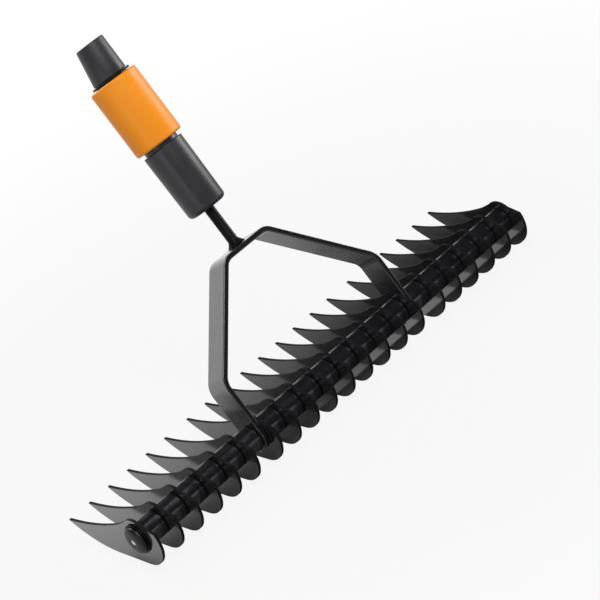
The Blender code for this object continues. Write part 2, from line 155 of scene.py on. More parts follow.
@dataclass(frozen=True)
class Finish:
    """A real material with the way that its surface was made, and how both take the light."""

    name: str
    colour: str
    mottle: str
    roughness: float
    grain_mm: float
    grain_depth_mm: float
    cloud_mm: float
    metallic: float = 0.0
    specular: float = 0.5
    coat: float = 0.0
    coat_roughness: float = 0.1
    roughness_spread: float = 0.06
    cloud_from: float = 0.3
    cloud_to: float = 0.7
    cloud_detail: float = 3.0
    grain_detail: float = 2.0

    def material(self) -> bpy.types.Material:
        """Makes the material, or gives the one that was made before."""
        found = bpy.data.materials.get(self.name)
        if found is not None:
            return found
        material = bpy.data.materials.new(self.name)
        material.use_nodes = True
        tree = material.node_tree
        shader = tree.nodes["Principled BSDF"]
        constants = {"Metallic": self.metallic, "Specular IOR Level": self.specular,
                     "Coat Weight": self.coat, "Coat Roughness": self.coat_roughness}
        for socket, value in constants.items():
            shader.inputs[socket].default_value = value
        self.detail(tree, shader)
        return material

    def detail(self, tree: Tree, shader: Node) -> None:
        """Adds clouds in colour and gloss, and a grain in the surface.

        Args:
            tree: The material's node tree.
            shader: Its Principled BSDF.
        """
        place = add_node(tree, "TexCoord").outputs["Object"]
        patterns = ((self.cloud_mm, self.cloud_detail), (self.grain_mm, self.grain_detail))
        clouds, grain = (add_node(tree, "TexNoise", {"Scale": 1 / (size * MM), "Detail": detail},
                                  {"Vector": place}).outputs["Fac"] for size, detail in patterns)
        colours = add_node(tree, "Mix", {"data_type": "RGBA", 6: linear(self.colour), 7: linear(self.mottle)},
                           {"Factor": clouds})
        gloss = add_node(tree, "MapRange", {"From Min": self.cloud_from, "From Max": self.cloud_to,
                                            "To Min": self.roughness - self.roughness_spread,
                                            "To Max": self.roughness + self.roughness_spread},
                         {"Value": clouds})
        bump = add_node(tree, "Bump", {"Strength": 1.0, "Distance": self.grain_depth_mm * MM},
                        {"Height": grain})
        tree.links.new(colours.outputs[2], shader.inputs["Base Color"])
        tree.links.new(gloss.outputs[0], shader.inputs["Roughness"])
        tree.links.new(bump.outputs["Normal"], shader.inputs["Normal"])


@dataclass(frozen=True)
class PaintedGlintFinish(Finish):
    """A finish on a turned piece along X, with a painted glint: a bright bare-steel spot at its middle."""

    # Colour and reach of the painted glint: bright bare steel near the axis, none past it.
    glint_colour: str = "#c9c9cb"
    painted_glint: Step = Step(1.5 * MM, 2.1 * MM, low=1.0, high=0.0)

    def detail(self, tree: Tree, shader: Node) -> None:
        """Adds the painted glint, a bright metal spot at the middle, to the clouds and the grain.

        Args:
            tree: The material's node tree.
            shader: Its Principled BSDF.
        """
        super().detail(tree, shader)
        place = add_node(tree, "TexCoord").outputs["Object"]
        across = add_node(tree, "VectorMath", {"operation": "MULTIPLY", 1: (0.0, 1.0, 1.0)}, {0: place})
        reach = add_node(tree, "VectorMath", {"operation": "LENGTH"}, {0: across.outputs["Vector"]})
        # Mask of the painted glint: full near the axis, fading out by 2.1 mm.
        bright = add_node(tree, "MapRange", self.painted_glint.settings, {"Value": reach.outputs["Value"]})
        paint = shader.inputs["Base Color"].links[0].from_socket
        colour = add_node(tree, "Mix", {"data_type": "RGBA", 7: linear(self.glint_colour)},
                          {"Factor": bright.outputs[0], 6: paint})
        tree.links.new(colour.outputs[2], shader.inputs["Base Color"])
        tree.links.new(bright.outputs[0], shader.inputs["Metallic"])


# Hardened steel, stamped and dipped in black paint: a thin, even film with a strong sheen. The flat sides
# mirror the floor and go dark where another blade stands close. The grain is the paint's slight waviness.
BLADE_COAT = Finish("electrocoated_boron_steel", "#1d1d20", "#242427", roughness=0.14, grain_mm=0.9,
                    grain_depth_mm=0.002, cloud_mm=14.0, specular=1.0, coat=0.6, coat_roughness=0.08,
                    roughness_spread=0.03)
# The blades' sheared edges: the same paint over torn steel, too rough to mirror anything, and coloured darker
# than the faces' paint, a painted shade that keeps them black.
# The real tears are finer than this grain, which is drawn coarser so that it shows.
SHADED_EDGE_COAT = Finish("electrocoated_sheared_edge_painted_shade", "#0a0a0c", "#111113", roughness=0.6, grain_mm=0.35,
                   grain_depth_mm=0.02, cloud_mm=5.0, specular=0.12)
# Steel tube, cut to length and stove-lacquered: deep black, with a thin line of light along its top.
TUBE_LACQUER = Finish("lacquered_steel_tube", "#131316", "#1a1a1e", roughness=0.2, grain_mm=1.2,
                      grain_depth_mm=0.003, cloud_mm=8.0, specular=0.7)
# Flat bar, bent cold and lacquered: satin grey in the light, with slow clouds of gloss.
STRIP_LACQUER = Finish("lacquered_flat_bar", "#222225", "#28282b", roughness=0.25, grain_mm=0.9,
                       grain_depth_mm=0.004, cloud_mm=18.0, specular=0.5, coat=0.9, coat_roughness=0.2)
# The bar's slit edges: the same lacquer over rough steel, dull, and coloured darker than the faces' lacquer,
# a painted shade that keeps them black beside the satin faces.
SHADED_SLIT_EDGE = replace(SHADED_EDGE_COAT, name="lacquered_slit_edge_painted_shade")
# Round bar, phosphated and painted with the welded fork: dull black.
TANG_BLACK = Finish("phosphated_round_bar", "#0c0c0e", "#131315", roughness=0.38, grain_mm=0.8,
                    grain_depth_mm=0.008, cloud_mm=6.0, specular=0.08)
# Steel cap, blackened and pressed on: deep black, with a painted glint, a small bright metal spot at its
# middle.
CAP_BLACK = PaintedGlintFinish("blackened_pressed_steel", "#0c0c0e", "#151517", roughness=0.4, grain_mm=0.7,
                         grain_depth_mm=0.004, cloud_mm=5.0, specular=0.3)
# Turned and formed steel with zinc plate: bright, a little blue, slightly cloudy. The plate's crystals are
# much finer and are drawn coarser.
ZINC_PLATE = Finish("zinc_plated_steel", "#a9adb1", "#bfc2c4", roughness=0.32, grain_mm=0.5,
                    grain_depth_mm=0.004, cloud_mm=3.0, metallic=1.0)
# Formed steel with black-passivated zinc plate: near black metal with a low sheen.
BLACK_ZINC = Finish("black_passivated_zinc_plate", "#1c1c1e", "#2a2a2d", roughness=0.42, grain_mm=0.5,
                    grain_depth_mm=0.004, cloud_mm=3.0, metallic=1.0)
# Glass-filled nylon from a spark-eroded mould: dark grey, matt, with an even grain. The mould's real texture
# is near 0.1 mm and is drawn coarser so that it shows.
GREY_NYLON = Finish("moulded_grey_nylon", "#242327", "#2d2c30", roughness=0.4, grain_mm=0.7,
                    grain_depth_mm=0.03, cloud_mm=16.0, specular=0.38)
# Unfilled nylon from a finer mould: strong orange with a satin skin, its texture drawn coarser too.
ORANGE_NYLON = Finish("moulded_orange_nylon", "#ee8c02", "#f29208", roughness=0.45, grain_mm=0.7,
                      grain_depth_mm=0.012, cloud_mm=20.0, specular=0.35)


def arc(radius: float, start: float, end: float, steps: int) -> list[Pair]:
    """Gives points round the origin from one angle in radians to another, both ends included."""
    angles = [start + (end - start) * step / steps for step in range(steps + 1)]
    return [(radius * math.cos(angle), radius * math.sin(angle)) for angle in angles]


def bulge(start: Pair, end: Pair, sag: float, steps: int) -> list[Pair]:
    """Gives points between two ends, bulging to the right of the way; the end itself is left out.

    Args:
        start: First point.
        end: The point that the line runs to.
        sag: Greatest distance from the straight line.
        steps: Number of points.

    Returns:
        The points in order.
    """
    first = Vector(start)
    way = Vector(end) - first
    side = Vector((way.y, -way.x)).normalized()
    shares = [step / steps for step in range(steps)]
    return [tuple(first + way * share + side * sag * 4 * share * (1 - share)) for share in shares]


def circle(radius: float, segments: int) -> list[Pair]:
    """Gives the points of a whole circle round the origin."""
    return arc(radius, 0.0, 2 * math.pi, segments)[:-1]


def metres(points: Sequence[Pair]) -> list[Pair]:
    """Turns points in millimetres to metres."""
    return [(a * MM, b * MM) for a, b in points]


def round_corner(before: Pair, corner: Pair, after: Pair, radius: float, steps: int) -> list[Pair]:
    """Rounds the corner between two straight runs.

    Args:
        before: A point on the run that comes in.
        corner: Where the runs meet.
        after: A point on the run that goes out.
        radius: The bend's radius.
        steps: Number of steps round the bend.

    Returns:
        Points round the bend, both tangent points included.
    """
    middle_point = Vector(corner)
    run_in = (middle_point - Vector(before)).normalized()
    run_out = (Vector(after) - middle_point).normalized()
    turn = run_in.angle(run_out)
    start = middle_point - run_in * radius * math.tan(turn / 2)
    centre = middle_point + (run_out - run_in).normalized() * radius / math.cos(turn / 2)
    first = math.atan2(start.y - centre.y, start.x - centre.x)
    sweep = turn if run_in.cross(run_out) > 0 else -turn
    return [(centre.x + a, centre.y + b) for a, b in arc(radius, first, first + sweep, steps)]


def rounded(points: Sequence[Pair], radii: dict[int, float], steps: int) -> list[Pair]:
    """Rounds some corners of an open line of points.

    Args:
        points: The line's corners.
        radii: Radius by the number of the corner; the others stay sharp.
        steps: Number of steps round each bend.

    Returns:
        The line's points in order.
    """
    line: list[Pair] = []
    for index, point in enumerate(points):
        if index in radii:
            line += round_corner(points[index - 1], point, points[index + 1], radii[index], steps)
        else:
            line.append(point)
    return line


def mesh_from(name: str, work: bmesh.types.BMesh) -> Mesh:
    """Turns a working mesh into a smooth-shaded mesh with sharp corners kept."""
    bmesh.ops.recalc_face_normals(work, faces=work.faces)
    mesh = bpy.data.meshes.new(name)
    work.to_mesh(mesh)
    work.free()
    mesh.shade_smooth()
    mesh.set_sharp_from_angle(angle=SHARP_ANGLE)
    return mesh


def turned(name: str, profile: Sequence[Pair], segments: int = 96, along_x: bool = False) -> Mesh:
    """Turns a profile round an axis.

    Args:
        name: The mesh's name.
        profile: Points as radius and height; one that starts at radius 0 closes on the axis, others close on
            themselves.
        segments: Number of steps round the axis.
        along_x: Whether the axis is X and not Z.

    Returns:
        The closed mesh.
    """
    work = bmesh.new()
    rings: list[list[bmesh.types.BMVert]] = []
    for radius, height in profile:
        ring = circle(radius, segments) if radius else [(0.0, 0.0)]
        rings.append([work.verts.new((a, b, height)) for a, b in ring])
    pairs = list(zip(rings, rings[1:]))
    if profile[0][0]:
        pairs.append((rings[-1], rings[0]))
    for low, high in pairs:
        for step in range(segments):
            after = (step + 1) % segments
            corners = [low[step % len(low)], low[after % len(low)]]
            corners += [high[after % len(high)], high[step % len(high)]]
            work.faces.new(list(dict.fromkeys(corners)))
    if along_x:
        bmesh.ops.transform(work, matrix=Matrix.Rotation(math.pi / 2, 4, "Y"), verts=work.verts)
    return mesh_from(name, work)


def rod(name: str, radius: float, half: float, segments: int, along_x: bool = True) -> Mesh:
    """Makes a plain round rod that reaches half its length to each side of the origin."""
    return turned(name, [(0.0, -half), (radius, -half), (radius, half), (0.0, half)], segments, along_x)


def stamped(name: str, outline: Sequence[Pair], holes: Sequence[Sequence[Pair]], thickness: float,
            x: float = 0.0) -> Mesh:
    """Makes a flat plate across X.

    Args:
        name: The mesh's name.
        outline: The plate's outline in Y and Z.
        holes: Outlines of its holes.
        thickness: Size along X.
        x: Place of its middle along X.

    Returns:
        The closed mesh.
    """
    work = bmesh.new()
    edges = []
    for loop in (outline, *holes):
        verts = [work.verts.new((x - thickness / 2, y, z)) for y, z in loop]
        edges += [work.edges.new((a, b)) for a, b in zip(verts, verts[1:] + verts[:1])]
    bmesh.ops.triangle_fill(work, edges=edges, use_beauty=True)
    region = bmesh.ops.extrude_face_region(work, geom=list(work.faces))
    moved = [item for item in region["geom"] if isinstance(item, bmesh.types.BMVert)]
    bmesh.ops.translate(work, verts=moved, vec=(thickness, 0.0, 0.0))
    return mesh_from(name, work)


def set_out(name: str, data: bpy.types.ID) -> bpy.types.Object:
    """Makes an object with its data and puts it in the scene."""
    made = bpy.data.objects.new(name, data)
    bpy.context.scene.collection.objects.link(made)
    return made


def cut(mesh: Mesh, tool: Mesh) -> Mesh:
    """Cuts one closed mesh out of another.

    Args:
        mesh: The mesh that loses material; it is used up.
        tool: The mesh whose space is taken away; it is used up.

    Returns:
        The cut mesh.
    """
    name = mesh.name
    pair = [set_out("cut_" + part.name, part) for part in (mesh, tool)]
    boolean = pair[0].modifiers.new("cut", "BOOLEAN")
    boolean.operation = "DIFFERENCE"
    boolean.object = pair[1]
    solid = pair[0].evaluated_get(bpy.context.evaluated_depsgraph_get())
    result = bpy.data.meshes.new_from_object(solid)
    for part in pair:
        bpy.data.objects.remove(part)
    for used in (mesh, tool):
        bpy.data.meshes.remove(used)
    result.name = name
    result.set_sharp_from_angle(angle=SHARP_ANGLE)
    return result


def ease_edges(piece: bpy.types.Object, width: float, segments: int = EASE_STEPS, material: int = 0) -> None:
    """Rounds a piece's sharp edges, and keeps its flat faces flat.

    Args:
        piece: The piece.
        width: Width of the rounding in metres.
        segments: Steps across it.
        material: Number of the material that the rounding takes.
    """
    bevel = piece.modifiers.new("eased_edges", "BEVEL")
    bevel.width = width
    bevel.segments = segments
    bevel.limit_method = "ANGLE"
    bevel.angle_limit = SHARP_ANGLE
    bevel.harden_normals = True
    bevel.material = material


def refinish(mesh: Mesh, finish: Finish, takes: Callable[[Vector], bool]) -> None:
    """Gives some faces of a mesh a second finish.

    Args:
        mesh: The mesh, which has its first finish.
        finish: The second finish.
        takes: Says by a face's normal whether the face takes the second finish.
    """
    mesh.materials.append(finish.material())
    for face in mesh.polygons:
        face.material_index = int(takes(face.normal))


def add_piece(node: str, mesh: Mesh, place: Matrix, body: Body, finish: Finish) -> bpy.types.Object:
    """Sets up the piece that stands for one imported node.

    Args:
        node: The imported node's name.
        mesh: The piece's mesh in its own frame.
        place: The frame's place in the row frame.
        body: The body that it rides on.
        finish: Its surface.

    Returns:
        The piece.
    """
    piece = set_out(f"{node}_finished", mesh)
    piece.matrix_world = place
    mesh.materials.append(finish.material())
    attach(piece, body.value)
    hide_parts(node)
    LOG.info("%s: %d faces on %s, %s", piece.name, len(mesh.polygons), body.value, finish.name)
    return piece


def middle(node: str) -> Vector:
    """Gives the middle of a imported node's box."""
    low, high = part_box(node)
    return (low + high) / 2


def gang_place() -> Matrix:
    """Gives the frame of the gang: its origin is the middle of the axle."""
    return Matrix.Translation(middle("axle_rod"))


def handle_place() -> Matrix:
    """Gives the frame of the handle: its origin is on the axle and +Z runs up the handle."""
    axis = next(joint["axis"] for joint in frame["joints"] if joint["name"] == "sleeve_slide")
    lean = math.atan2(-axis[1], -axis[2])
    return gang_place() @ Matrix.Rotation(-lean, 4, "X")


@dataclass
class BladeGang:
    """The claw blades on their axle, with spacers, washers and end caps; sizes in millimetres."""

    blade_count: int = 21
    blade_t: float = 2.0
    hub_r: float = 20.2
    belly_flat: float = 30.0
    belly_sag: float = 3.3
    claw_reach: float = 73.2
    claw_drop: float = 6.7
    top_sag: float = 2.2
    neck: Pair = (16.6, 6.1)
    shoulder_r: float = 13.5
    shoulder_from: float = 48.0
    shoulder_to: float = 128.0
    heel_angle: float = 157.0
    edge_ease: float = 0.12
    outline_steps: tuple[int, int, int, int] = (16, 40, 16, 18)
    round_segments: int = 64
    spacer_r: float = 9.0
    spacer_chamfer: float = 0.5
    spacer_segments: int = 72
    bore_r: float = 5.3
    bore_segments: int = 32
    axle_r: float = 5.0
    axle_chamfer: float = 0.5
    axle_segments: int = 48
    cap_r: float = 9.2
    cap_rim: float = 0.8
    cap_dome: float = 2.6
    cap_bore_depth: float = 1.9
    cap_dimple_r: float = 2.6
    cap_dimple_depth: float = 0.7
    cap_fullness: float = 0.9
    cap_steps: int = 14
    cap_ease: float = 0.25
    bush_r: float = 6.5
    stop_pin_r: float = 1.4
    stop_pin_segments: int = 24
    stop_orbit: float = 10.3
    stop_angle: float = -94.5
    ring_ease: float = 0.2
    pin_ease: float = 0.15

    def outline(self) -> list[Pair]:
        """Gives the claw's outline round the axle: belly, flat, round back, shoulder and hollow top edge."""
        belly, back, shoulder, top = self.outline_steps
        tip = (self.claw_reach, -self.claw_drop)
        flat_end = (self.belly_flat, -self.hub_r)
        points = bulge(tip, flat_end, -self.belly_sag, belly)
        points.append(flat_end)
        points += arc(self.hub_r, -math.pi / 2, math.radians(self.heel_angle - 360), back)
        first, last = math.radians(self.shoulder_to), math.radians(self.shoulder_from)
        points += arc(self.shoulder_r, first, last, shoulder)
        points += bulge(self.neck, tip, self.top_sag, top)
        return metres(points)

    def build_blades(self) -> None:
        """Makes each blade where its node stands."""
        bore = circle(self.bore_r * MM, self.bore_segments)
        for number in range(1, self.blade_count + 1):
            node = f"blade_{number:02d}"
            x = middle(node).x - gang_place().translation.x
            mesh = stamped(node, self.outline(), [bore], self.blade_t * MM, x)
            blade = add_piece(node, mesh, gang_place(), Body.GANG, BLADE_COAT)
            # The edges take the rough edge finish, whose darker colour is painted shade.
            refinish(mesh, SHADED_EDGE_COAT, lambda normal: abs(normal.x) < FACING)
            ease_edges(blade, self.edge_ease * MM, material=1)

    def build_spacers(self) -> None:
        """Makes each spacer tube, with its cut ends chamfered."""
        for number in range(1, self.blade_count):
            node = f"spacer_{number:02d}"
            low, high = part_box(node)
            x = gang_place().translation.x
            start, end, chamfer = low.x - x, high.x - x, self.spacer_chamfer * MM
            outer, bore = self.spacer_r * MM, self.bore_r * MM
            profile = [(bore, start), (outer - chamfer, start), (outer, start + chamfer),
                       (outer, end - chamfer), (outer - chamfer, end), (bore, end)]
            mesh = turned(node, profile, self.spacer_segments, along_x=True)
            add_piece(node, mesh, gang_place(), Body.GANG, TUBE_LACQUER)

    def cap_profile(self) -> list[Pair]:
        """Gives the cap's profile: blind bore, rim, steep shoulder and a crown with a pressed dimple."""
        top = self.cap_rim + self.cap_dome
        profile = [(0.0, self.cap_bore_depth), (self.bore_r, self.cap_bore_depth), (self.bore_r, 0.0),
                   (self.cap_r, 0.0), (self.cap_r, self.cap_rim)]
        for step in range(1, self.cap_steps):
            angle = math.pi / 2 * step / self.cap_steps
            reach = math.cos(angle) ** self.cap_fullness
            radius = self.cap_dimple_r + (self.cap_r - self.cap_dimple_r) * reach
            profile.append((radius, self.cap_rim + self.cap_dome * math.sin(angle)))
        for step in range(self.cap_steps):
            share = 1 - step / self.cap_steps
            profile.append((self.cap_dimple_r * share, top - self.cap_dimple_depth * (1 - share * share)))
        profile.append((0.0, top - self.cap_dimple_depth))
        return metres(profile)

    def build_hardware(self) -> None:
        """Makes the axle rod and what sits on it at each side."""
        low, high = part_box("axle_rod")
        half, chamfer, radius = (high.x - low.x) / 2, self.axle_chamfer * MM, self.axle_r * MM
        profile = [(0.0, -half), (radius - chamfer, -half), (radius, chamfer - half),
                   (radius, half - chamfer), (radius - chamfer, half), (0.0, half)]
        mesh = turned("axle_rod", profile, self.axle_segments, along_x=True)
        add_piece("axle_rod", mesh, gang_place(), Body.GANG, ZINC_PLATE)
        for word, side in (("left", -1.0), ("right", 1.0)):
            self.build_ring(f"washer_{word}", BLACK_ZINC)
            self.build_ring(f"pivot_bush_{word}", ZINC_PLATE)
            self.build_pin(f"stop_pin_{word}")
            node = f"end_cap_{word}"
            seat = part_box(node)[0].x if side > 0 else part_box(node)[1].x
            turn = Matrix.Identity(4) if side > 0 else Matrix.Rotation(math.pi, 4, "Z")
            place = Matrix.Translation(Vector((seat, *gang_place().translation.yz))) @ turn
            mesh = turned(node, self.cap_profile(), self.round_segments, along_x=True)
            cap = add_piece(node, mesh, place, Body.GANG, CAP_BLACK)
            ease_edges(cap, self.cap_ease * MM, FINE_EASE_STEPS)

    def build_ring(self, node: str, finish: Finish) -> None:
        """Makes a plain ring on the axle with eased edges, as long and as wide as its node."""
        low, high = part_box(node)
        x = gang_place().translation.x
        outer, bore = (high.z - low.z) / 2, self.bore_r * MM
        profile = [(bore, low.x - x), (outer, low.x - x), (outer, high.x - x), (bore, high.x - x)]
        mesh = turned(node, profile, self.round_segments, along_x=True)
        ring = add_piece(node, mesh, gang_place(), Body.GANG, finish)
        ease_edges(ring, self.ring_ease * MM)

    def build_pin(self, node: str) -> None:
        """Makes a stop pin beside the axle."""
        low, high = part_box(node)
        angle = math.radians(self.stop_angle)
        orbit = Vector((0.0, math.cos(angle), math.sin(angle))) * self.stop_orbit * MM
        place = gang_place() @ Matrix.Translation(orbit + Vector(((low.x + high.x) / 2, 0.0, 0.0)))
        mesh = rod(node, self.stop_pin_r * MM, (high.x - low.x) / 2, self.stop_pin_segments)
        pin = add_piece(node, mesh, place, Body.GANG, ZINC_PLATE)
        ease_edges(pin, self.pin_ease * MM)

    def build(self) -> None:
        """Makes the whole gang."""
        self.build_blades()
        self.build_spacers()
        self.build_hardware()


@dataclass
class Fork:
    """The bent strip with the tang welded in its crown; sizes in millimetres in the handle's frame."""

    strip_t: float = 3.5
    strip_w: float = 22.6
    edge_ease: float = 1.0
    tab_x: float = 71.05
    shoulder_h: float = 38.3
    shoulder_bend_r: float = 12.0
    crown_half: float = 18.0
    crown_h: float = 97.0
    crown_bend_r: float = 9.0
    bend_steps: int = 14
    tab_bore_r: float = 6.8
    drill_segments: int = 48
    notch_floor_r: float = 8.6
    notch_half: float = 32.1
    end_steps: int = 16
    notch_steps: int = 12
    tang_r: float = 3.5
    tang_top: float = 155.8
    weld_r: float = 6.5
    weld_h: float = 4.0
    weld_lip: float = 0.3
    weld_hollow: float = 0.7
    weld_steps: int = 10
    weld_ripples: int = 13
    weld_ripple_share: float = 0.1
    seat_gap: float = 0.3

    def path(self) -> list[Pair]:
        """Gives the strip's middle line from the left axle hole over the crown to the right one."""
        corners = [(-self.tab_x, 0.0), (-self.tab_x, self.shoulder_h), (-self.crown_half, self.crown_h),
                   (self.crown_half, self.crown_h), (self.tab_x, self.shoulder_h), (self.tab_x, 0.0)]
        shoulder, crown = self.shoulder_bend_r, self.crown_bend_r
        radii = {1: shoulder, 2: crown, 3: crown, 4: shoulder}
        return metres(rounded(corners, radii, self.bend_steps))

    def strip_mesh(self) -> Mesh:
        """Sweeps the strip along its path and rounds its two ends, each with the notch for the stop pin."""
        path = [Vector(point) for point in self.path()]
        half_t, half_w = self.strip_t * MM / 2, self.strip_w * MM / 2
        work = bmesh.new()
        rings: list[list[bmesh.types.BMVert]] = []
        for index, point in enumerate(path):
            ahead = path[min(index + 1, len(path) - 1)] - path[max(index - 1, 0)]
            if index in (0, len(path) - 1):
                ahead = Vector((0.0, -1.0 if index else 1.0))
            normal = Vector((-ahead.y, ahead.x)).normalized() * half_t
            corners = [(point + normal, half_w), (point + normal, -half_w), (point - normal, -half_w),
                       (point - normal, half_w)]
            rings.append([work.verts.new((edge.x, y, edge.y)) for edge, y in corners])
        for low, high in zip(rings, rings[1:]):
            for side in range(len(low)):
                after = (side + 1) % len(low)
                work.faces.new((low[side], low[after], high[after], high[side]))
        notch = math.radians(self.notch_half)
        down = -math.pi / 2
        end_points = arc(half_w, 0.0, down + notch, self.end_steps)[1:]
        end_points += arc(self.notch_floor_r * MM, down + notch, down - notch, self.notch_steps)
        end_points += arc(half_w, down - notch, 2 * down, self.end_steps)[:-1]
        for ring in (rings[0], rings[-1]):
            outer = [ring[0], *[work.verts.new((ring[0].co.x, y, z)) for y, z in end_points], ring[1]]
            inner = [ring[3], *[work.verts.new((ring[2].co.x, y, z)) for y, z in end_points], ring[2]]
            work.faces.new(outer)
            work.faces.new(inner)
            for step in range(len(outer) - 1):
                work.faces.new((outer[step], outer[step + 1], inner[step + 1], inner[step]))
        return mesh_from("fork_strip", work)

    def build_strip(self) -> None:
        """Makes the strip with its axle holes and the hole for the tang."""
        steps = self.drill_segments
        tabs = rod("tab_drill", self.tab_bore_r * MM, (self.tab_x + self.strip_t) * MM, steps)
        seat = rod("seat_drill", (self.tang_r + self.seat_gap) * MM, self.strip_t * MM, steps, along_x=False)
        seat.transform(Matrix.Translation(UP * (self.crown_h * MM)))
        mesh = cut(cut(self.strip_mesh(), tabs), seat)
        strip = add_piece("fork_strip", mesh, handle_place(), Body.HANDLE, STRIP_LACQUER)
        # The slit edges take the darker edge finish, a painted shade.
        refinish(mesh, SHADED_SLIT_EDGE, lambda normal: abs(normal.y) > FACING)
        ease_edges(strip, self.edge_ease * MM, FINE_EASE_STEPS)

    def build_tang(self) -> None:
        """Makes the round tang with its rippled weld bead on the crown."""
        base = self.crown_h - self.strip_t / 2
        weld = self.crown_h + self.strip_t / 2 + self.seat_gap
        lip = self.weld_r - self.weld_lip
        profile = [(0.0, base), (self.tang_r, base), (self.tang_r, weld), (lip, weld)]
        for step in range(1, self.weld_steps):
            share = step / self.weld_steps
            radius = self.weld_r + (self.tang_r - self.weld_r) * share ** self.weld_hollow
            profile.append((radius, weld + self.weld_h * share))
        profile += [(self.tang_r, weld + self.weld_h), (self.tang_r, self.tang_top), (0.0, self.tang_top)]
        mesh = turned("tang_rod", metres(profile))
        for vert in mesh.vertices:
            radius = math.hypot(vert.co.x, vert.co.y)
            proud = radius - self.tang_r * MM
            if proud > 0:
                angle = math.atan2(vert.co.y, vert.co.x)
                wave = self.weld_ripple_share * math.sin(self.weld_ripples * angle)
                ripple = 1 + wave * proud / radius
                vert.co.x *= ripple
                vert.co.y *= ripple
        add_piece("tang_rod", mesh, handle_place(), Body.HANDLE, TANG_BLACK)

    def build(self) -> None:
        """Makes the fork."""
        self.build_strip()
        self.build_tang()


@dataclass
class Socket:
    """Body, core, ring, sleeve, spring and pawl of the plug-in socket; sizes in millimetres up the handle."""

    body_base: float = 128.2
    body_l: float = 47.9
    body_base_r: float = 13.8
    body_top_r: float = 14.3
    body_fillet: float = 3.4
    body_top_fillet: float = 0.5
    round_segments: int = 128
    fillet_steps: int = 8
    tang_bore_r: float = 3.8
    shank_r: float = 9.0
    shank_l: float = 20.0
    shank_fillet: float = 0.6
    seat_gap: float = 0.3
    sleeve_travel: float = 2.5
    sleeve_l: float = 49.0
    sleeve_r: float = 17.0
    sleeve_fillet: float = 1.6
    sleeve_wall: float = 1.9
    sleeve_collar_l: float = 12.0
    core_r: float = 12.2
    flange_up: float = 1.4
    flange_t: float = 2.0
    ring_t: float = 1.4
    ring_r: float = 13.9
    ring_seat: float = 1.2
    ring_fillet: float = 0.3
    ring_segments: int = 96
    ring_fillet_steps: int = 4
    spigot_l: float = 24.4
    spigot_tip_r: float = 10.1
    spigot_shift: Pair = (1.85, -1.0)
    spigot_fillet: float = 0.8
    spigot_fillet_steps: int = 5
    groove_fillet: float = 0.3
    spring_wire_r: float = 0.6
    spring_turns: int = 6
    spring_steps: int = 36
    wire_sides: int = 12
    pawl_w: float = 6.0
    pawl_h: float = 8.0
    pawl_up: float = 9.0
    pawl_proud: float = 1.3
    pawl_depth: float = 7.0
    pawl_ramp: float = 2.4
    pawl_travel: float = 1.4
    pawl_ease: float = 0.3

    @property
    def body_top(self) -> float:
        """Height of the body's top."""
        return self.body_base + self.body_l

    @property
    def sleeve_base(self) -> float:
        """Height of the sleeve's lower rim."""
        return self.body_top + self.sleeve_travel + self.seat_gap

    @property
    def groove_base(self) -> float:
        """Height of the ring groove's lower side."""
        return self.sleeve_base + self.sleeve_l + self.seat_gap

    @property
    def groove_top(self) -> float:
        """Height of the ring groove's upper side."""
        return self.groove_base + self.ring_t + 2 * self.seat_gap

    @property
    def pawl_front(self) -> float:
        """Reach of the pawl from the handle's axis."""
        share = (self.pawl_up + self.pawl_h / 2) / self.spigot_l
        tip = self.spigot_tip_r + self.spigot_shift[1]
        return self.core_r + (tip - self.core_r) * share + self.pawl_proud

    def build_body(self) -> None:
        """Makes the body with its rounded base."""
        shank_bore = self.shank_r + self.seat_gap
        shank_floor = self.body_top - self.shank_l - self.seat_gap
        corners = [(self.tang_bore_r, self.body_base), (self.body_base_r, self.body_base),
                   (self.body_top_r, self.body_top), (shank_bore, self.body_top), (shank_bore, shank_floor),
                   (self.tang_bore_r, shank_floor)]
        profile = rounded(corners, {1: self.body_fillet, 2: self.body_top_fillet}, self.fillet_steps)
        mesh = turned("socket_body", metres(profile), self.round_segments)
        add_piece("socket_body", mesh, handle_place(), Body.HANDLE, GREY_NYLON)

    def build_spigot(self) -> None:
        """Makes shank, core with its flange and groove, and the tapered spigot with the pawl's window."""
        shank_base = self.body_top - self.shank_l
        core_base = self.body_top + self.seat_gap
        flange_base = self.sleeve_base + self.flange_up
        flange_top = flange_base + self.flange_t
        flange_r = self.sleeve_r - self.sleeve_wall - self.seat_gap
        groove_r = self.core_r - self.ring_seat
        top = self.groove_top + self.spigot_l
        corners = [(0.0, shank_base), (self.shank_r, shank_base), (self.shank_r, core_base),
                   (self.core_r, core_base), (self.core_r, flange_base), (flange_r, flange_base),
                   (flange_r, flange_top), (self.core_r, flange_top), (self.core_r, self.groove_base),
                   (groove_r, self.groove_base), (groove_r, self.groove_top), (self.core_r, self.groove_top),
                   (self.spigot_tip_r, top), (0.0, top)]
        radii = {1: self.shank_fillet, 11: self.groove_fillet, 12: self.spigot_fillet}
        profile = rounded(corners, radii, self.spigot_fillet_steps)
        mesh = turned("spigot_core", metres(profile), self.round_segments)
        for vert in mesh.vertices:
            share = max(0.0, vert.co.z / MM - self.groove_top) / self.spigot_l
            vert.co.x += self.spigot_shift[0] * MM * share
            vert.co.y += self.spigot_shift[1] * MM * share
        add_piece("spigot_core", cut(mesh, self.window()), handle_place(), Body.HANDLE, GREY_NYLON)

    def build_sleeve(self) -> None:
        """Makes the release sleeve with its rounded rims and stepped bore."""
        bore = self.sleeve_r - self.sleeve_wall
        collar = self.core_r + self.seat_gap
        top = self.sleeve_base + self.sleeve_l
        step = top - self.sleeve_collar_l
        corners = [(bore, self.sleeve_base), (self.sleeve_r, self.sleeve_base), (self.sleeve_r, top),
                   (collar, top), (collar, step), (bore, step)]
        profile = rounded(corners, {1: self.sleeve_fillet, 2: self.sleeve_fillet}, self.fillet_steps)
        mesh = turned("release_sleeve", metres(profile), self.round_segments)
        add_piece("release_sleeve", mesh, handle_place(), Body.SLEEVE, ORANGE_NYLON)

